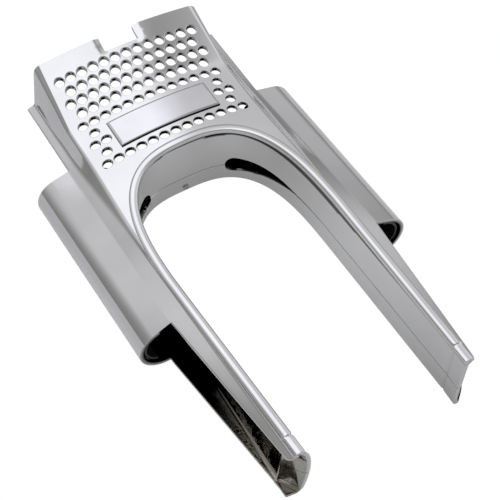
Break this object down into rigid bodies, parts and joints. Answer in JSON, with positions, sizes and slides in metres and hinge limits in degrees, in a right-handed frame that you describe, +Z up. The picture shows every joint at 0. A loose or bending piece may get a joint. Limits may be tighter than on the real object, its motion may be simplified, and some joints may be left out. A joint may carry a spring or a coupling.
{
  "type": "motorcycle fork cover",
  "caption": "Chromed clamshell cover for a light moped's front fork, with a grille plate, a wheel arch, open-sided legs and half-round fork-tube covers.",
  "frame": {"origin": "centre of the footprint on the plane of the rear rim, with the cover lying on its back", "axes": "+X across the cover, +Y from the leg tips to the grille end, +Z up out of the front face"},
  "size_m": [0.1694, 0.2876, 0.0692],
  "materials": {
    "chrome": "bright mirror chrome plating on moulded plastic, slightly wavy",
    "badge_chrome": "bright mirror chrome with a smeared reflection",
    "liner": "unplated grey moulded plastic",
    "steel": "bright zinc-plated steel"
  },
  "bodies": {
    "root": {"front_shell": "chrome", "rear_shell": "chrome", "badge_plate": "badge_chrome", "tube_liner_left": "liner", "tube_liner_right": "liner", "badge_push_nut_left": "steel", "badge_push_nut_right": "steel", "arch_screw": "steel", "shell_screw_upper_left": "steel", "shell_screw_upper_right": "steel", "shell_screw_lower_left": "steel", "shell_screw_lower_right": "steel"}
  },
  "joints": []
}
